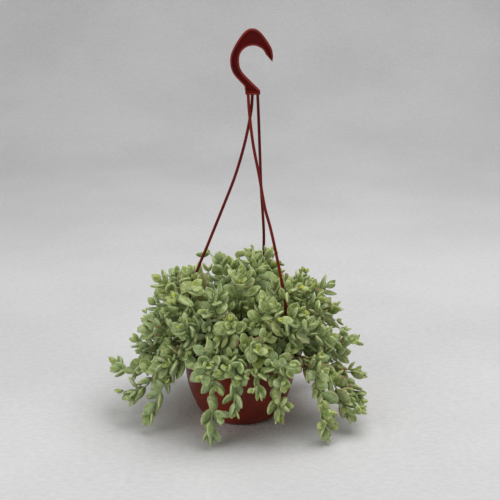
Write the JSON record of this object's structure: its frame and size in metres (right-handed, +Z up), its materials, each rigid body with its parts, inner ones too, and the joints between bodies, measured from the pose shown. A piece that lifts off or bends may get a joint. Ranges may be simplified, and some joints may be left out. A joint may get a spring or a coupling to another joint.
{
  "type": "potted trailing succulent",
  "caption": "Trailing succulent with thick paired leaves in a round hanging pot, standing on its base with its three-strand hook hanger upright.",
  "frame": {"origin": "centre of the pot's base, on the surface it stands on", "axes": "+Z up through the pot and the hanger, -Y towards the front of the picture, +X to its right"},
  "size_m": [0.3093, 0.2495, 0.4602],
  "materials": {
    "pot_plastic": "deep red-brown moulded plastic, low sheen",
    "hanger_plastic": "darker red-brown moulded plastic, slight sheen",
    "soil_fibre": "dark crumbly soil",
    "leaf_green": "matte grey-green leaf with a pale bloom"
  },
  "bodies": {
    "root": {"hanger": "hanger_plastic", "pot": "pot_plastic", "soil": "soil_fibre", "stem_back_far": "leaf_green", "stem_back_middle": "leaf_green", "stem_back_right": "leaf_green", "stem_dome_01": "leaf_green", "stem_dome_02": "leaf_green", "stem_dome_03": "leaf_green", "stem_dome_04": "leaf_green", "stem_dome_05": "leaf_green", "stem_dome_06": "leaf_green", "stem_dome_07": "leaf_green", "stem_dome_08": "leaf_green", "stem_dome_09": "leaf_green", "stem_dome_10": "leaf_green", "stem_dome_11": "leaf_green", "stem_dome_12": "leaf_green", "stem_dome_13": "leaf_green", "stem_dome_14": "leaf_green", "stem_dome_15": "leaf_green", "stem_dome_16": "leaf_green", "stem_dome_17": "leaf_green", "stem_dome_18": "leaf_green", "stem_dome_19": "leaf_green", "stem_dome_20": "leaf_green", "stem_dome_21": "leaf_green", "stem_dome_22": "leaf_green", "stem_dome_23": "leaf_green", "stem_dome_24": "leaf_green", "stem_dome_25": "leaf_green", "stem_dome_26": "leaf_green", "stem_dome_27": "leaf_green", "stem_dome_28": "leaf_green", "stem_dome_29": "leaf_green", "stem_dome_30": "leaf_green", "stem_dome_31": "leaf_green", "stem_dome_32": "leaf_green", "stem_dome_33": "leaf_green", "stem_dome_34": "leaf_green", "stem_dome_35": "leaf_green", "stem_dome_36": "leaf_green", "stem_dome_37": "leaf_green", "stem_dome_38": "leaf_green", "stem_dome_39": "leaf_green", "stem_dome_40": "leaf_green", "stem_front_long": "leaf_green", "stem_front_middle": "leaf_green", "stem_front_near": "leaf_green", "stem_front_right": "leaf_green", "stem_left_hang": "leaf_green", "stem_left_low": "leaf_green", "stem_left_reach": "leaf_green", "stem_right_hang": "leaf_green", "stem_right_low": "leaf_green", "stem_right_mid": "leaf_green", "stem_right_reach": "leaf_green", "stem_upper_front": "leaf_green", "stem_upper_left": "leaf_green", "stem_upper_right": "leaf_green"}
  },
  "joints": []
}
